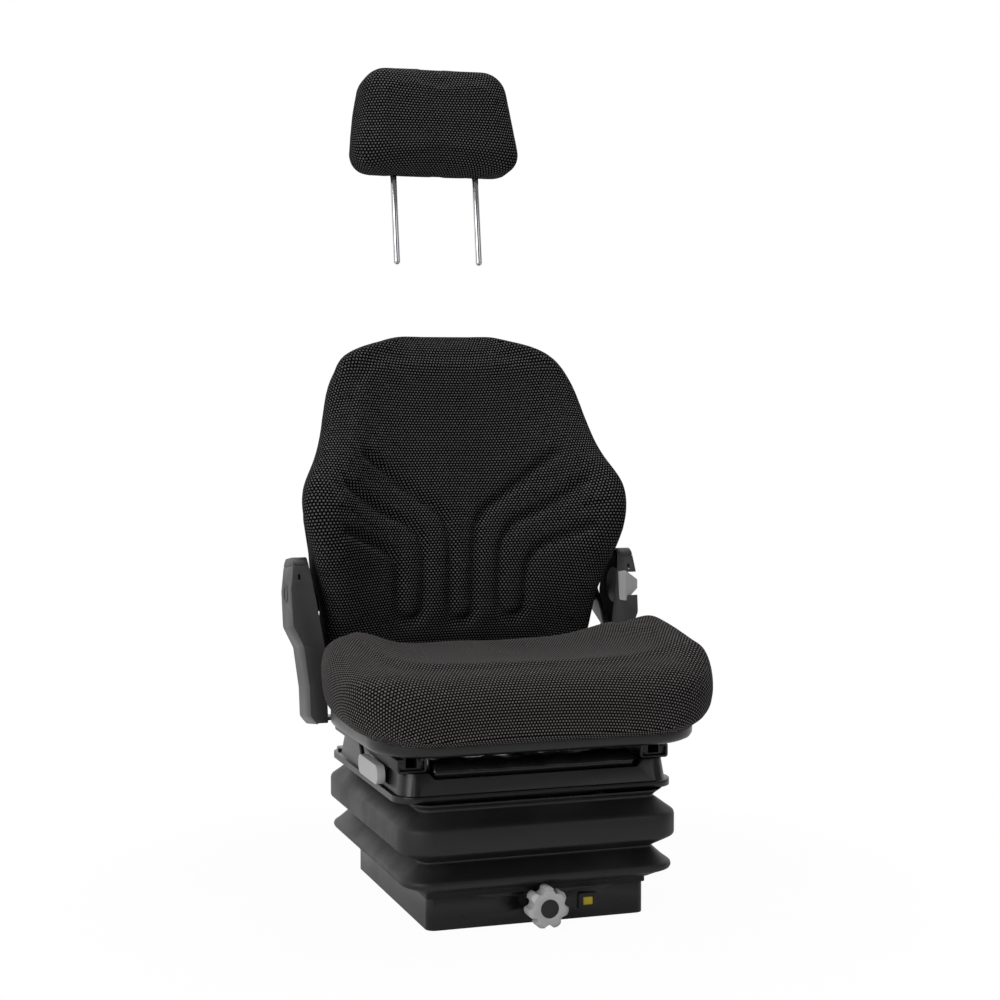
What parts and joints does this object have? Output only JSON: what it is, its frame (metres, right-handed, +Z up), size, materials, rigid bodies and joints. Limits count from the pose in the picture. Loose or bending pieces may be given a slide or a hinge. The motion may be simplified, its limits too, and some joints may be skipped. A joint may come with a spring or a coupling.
{
  "type": "tractor suspension seat",
  "caption": "Cushioned operator's seat with winged backrest and headrest on slide rails, over a scissor suspension base closed by a rubber bellows.",
  "frame": {"origin": "centre of the four mounting holes, on the underside of the base", "axes": "+Z up, -Y the way the seated person faces, +X towards the seated person's left"},
  "size_m": [0.5398, 0.5943, 1.1939],
  "materials": {
    "black_steel": "satin black paint",
    "grey_steel": "plain steel",
    "bright_steel": "zinc plated",
    "polished_rod": "polished",
    "soft_black": "soft moulded black, slight sheen",
    "black_plastic": "fine textured",
    "grey_plastic": "smooth light grey",
    "yellow_window": "yellow scale window",
    "red_pointer": "pointer",
    "seat_fabric": "knit with small light dots",
    "back_fabric": "knit with small light dots"
  },
  "bodies": {
    "base": {"base_tub": "black_steel", "weld_nuts": "bright_steel", "bump_stops": "soft_black", "bellows": "soft_black", "window_bezel": "black_plastic", "weight_window": "yellow_window", "rear_pivot_shaft": "bright_steel", "lower_track_left": "grey_steel", "lower_track_right": "grey_steel", "spring_left": "bright_steel", "spring_right": "bright_steel"},
    "weight_pointer": {"weight_pointer": "red_pointer"},
    "weight_knob": {"weight_knob": "grey_plastic", "weight_knob_cap": "black_plastic", "weight_spindle": "bright_steel"},
    "spring_bridge": {"spring_bridge": "grey_steel"},
    "scissor_outer": {"outer_arm_left": "grey_steel", "outer_arm_right": "grey_steel", "outer_cross_tube": "grey_steel", "centre_pins": "bright_steel", "upper_stub_axles": "bright_steel"},
    "scissor_inner": {"inner_arm_left": "grey_steel", "inner_arm_right": "grey_steel", "inner_cross_tube": "grey_steel", "lower_stub_axles": "bright_steel", "damper_arm_pin": "bright_steel"},
    "lower_rollers": {"lower_rollers": "black_plastic"},
    "upper_rollers": {"upper_rollers": "black_plastic"},
    "suspension_top": {"suspension_cover": "black_steel", "upper_track_left": "grey_steel", "upper_track_right": "grey_steel", "upper_lugs": "grey_steel", "damper_bracket": "grey_steel", "lower_rail_left": "bright_steel", "lower_rail_right": "bright_steel", "slide_gaiter": "soft_black"},
    "damper_tube": {"damper_tube": "grey_steel"},
    "damper_rod": {"damper_rod": "bright_steel"},
    "seat_frame": {"upper_rail_left": "bright_steel", "upper_rail_right": "bright_steel", "seat_pan": "black_steel", "seat_cushion": "seat_fabric", "hinge_bracket_left": "black_steel", "hinge_bracket_right": "black_steel", "pivot_bolts": "bright_steel", "recline_pin": "bright_steel"},
    "slide_lever": {"slide_lever": "black_steel", "slide_paddle": "grey_plastic"},
    "recline_lever": {"recline_lever": "black_steel"},
    "backrest": {"backrest_cushion": "back_fabric", "backrest_frame": "black_steel", "back_shell": "black_plastic", "side_cover_left": "black_plastic", "side_cover_right": "black_plastic", "side_cover_plug": "black_plastic", "headrest_guide_left": "black_plastic", "headrest_guide_right": "black_plastic"},
    "lumbar_knob": {"lumbar_knob": "grey_plastic"},
    "headrest": {"headrest_rods": "polished_rod", "headrest_pad": "back_fabric"}
  },
  "joints": [
    {"name": "suspension_travel", "type": "slide", "parent": "base", "child": "suspension_top", "axis": [0, 0, 1], "range_m": [-0.1, 0], "stiffness_N_per_m": 6200, "springref_m": 0.0576, "deforming": ["bellows", "spring_left", "spring_right"]},
    {"name": "scissor_outer", "type": "hinge", "parent": "base", "child": "scissor_outer", "pos_m": [0, 0.135, 0.03], "axis": [1, 0, 0], "range_deg": [-0.2, 21.03]},
    {"name": "scissor_inner", "type": "hinge", "parent": "scissor_outer", "child": "scissor_inner", "pos_m": [0, 0.00829, 0.1055], "axis": [1, 0, 0], "range_deg": [-41.96, 0.3]},
    {"name": "lower_rollers", "type": "hinge", "parent": "scissor_inner", "child": "lower_rollers", "pos_m": [0, -0.11843, 0.03], "axis": [1, 0, 0], "range_deg": [-0.5, 198.63]},
    {"name": "upper_rollers", "type": "hinge", "parent": "scissor_outer", "child": "upper_rollers", "pos_m": [0, -0.11843, 0.181], "axis": [1, 0, 0], "range_deg": [-198.63, 0.5]},
    {"name": "damper_tube", "type": "hinge", "parent": "suspension_top", "child": "damper_tube", "pos_m": [0, -0.15, 0.18], "axis": [1, 0, 0], "range_deg": [-0.2, 11.82]},
    {"name": "damper_rod", "type": "slide", "parent": "damper_tube", "child": "damper_rod", "axis": [0, 0.949, -0.3152], "range_m": [-0.02391, 0.0002]},
    {"name": "fore_aft_slide", "type": "slide", "parent": "suspension_top", "child": "seat_frame", "axis": [0, 1, 0], "range_m": [-0.075, 0.075]},
    {"name": "slide_lever", "type": "hinge", "parent": "seat_frame", "child": "slide_lever", "pos_m": [-0.1978, 0, 0.2315], "axis": [1, 0, 0], "range_deg": [-12, 0], "stiffness_Nm_per_rad": 1.5, "springref_deg": 8.59},
    {"name": "recline", "type": "hinge", "parent": "seat_frame", "child": "backrest", "pos_m": [0, 0.124, 0.292], "axis": [1, 0, 0], "range_deg": [-20, 5]},
    {"name": "recline_lever", "type": "hinge", "parent": "seat_frame", "child": "recline_lever", "pos_m": [0.246, 0.008, 0.248], "axis": [1, 0, 0], "range_deg": [-8, 0], "stiffness_Nm_per_rad": 2, "springref_deg": 11.46},
    {"name": "lumbar_knob", "type": "hinge", "parent": "backrest", "child": "lumbar_knob", "pos_m": [0.235, 0.13793, 0.41226], "axis": [1, 0, 0], "range_deg": [-90, 90]},
    {"name": "headrest_slide", "type": "slide", "parent": "backrest", "child": "headrest", "axis": [0, 0.1478, 0.989], "range_m": [-0.225, 0]},
    {"name": "weight_knob", "type": "hinge", "parent": "base", "child": "weight_knob", "pos_m": [0, -0.217, 0.0295], "axis": [0, 1, 0], "range_deg": [-1440, 1440]},
    {"name": "spring_bridge", "type": "slide", "parent": "base", "child": "spring_bridge", "axis": [0, 1, 0], "range_m": [-0.0161, 0.0161]},
    {"name": "weight_pointer", "type": "slide", "parent": "base", "child": "weight_pointer", "axis": [1, 0, 0], "range_m": [-0.0041, 0.0041]}
  ],
  "couplings": [
    {"joint": "scissor_outer", "follows": "suspension_travel", "rad_per_m": -3.636},
    {"joint": "scissor_inner", "follows": "suspension_travel", "rad_per_m": 7.272},
    {"joint": "lower_rollers", "follows": "suspension_travel", "rad_per_m": -34.581},
    {"joint": "upper_rollers", "follows": "suspension_travel", "rad_per_m": 34.581},
    {"joint": "damper_tube", "follows": "suspension_travel", "rad_per_m": -2.0287},
    {"joint": "damper_rod", "follows": "suspension_travel", "ratio": 0.23713},
    {"joint": "spring_bridge", "follows": "weight_knob", "m_per_rad": 0.0006366},
    {"joint": "weight_pointer", "follows": "weight_knob", "m_per_rad": 0.0001592}
  ]
}
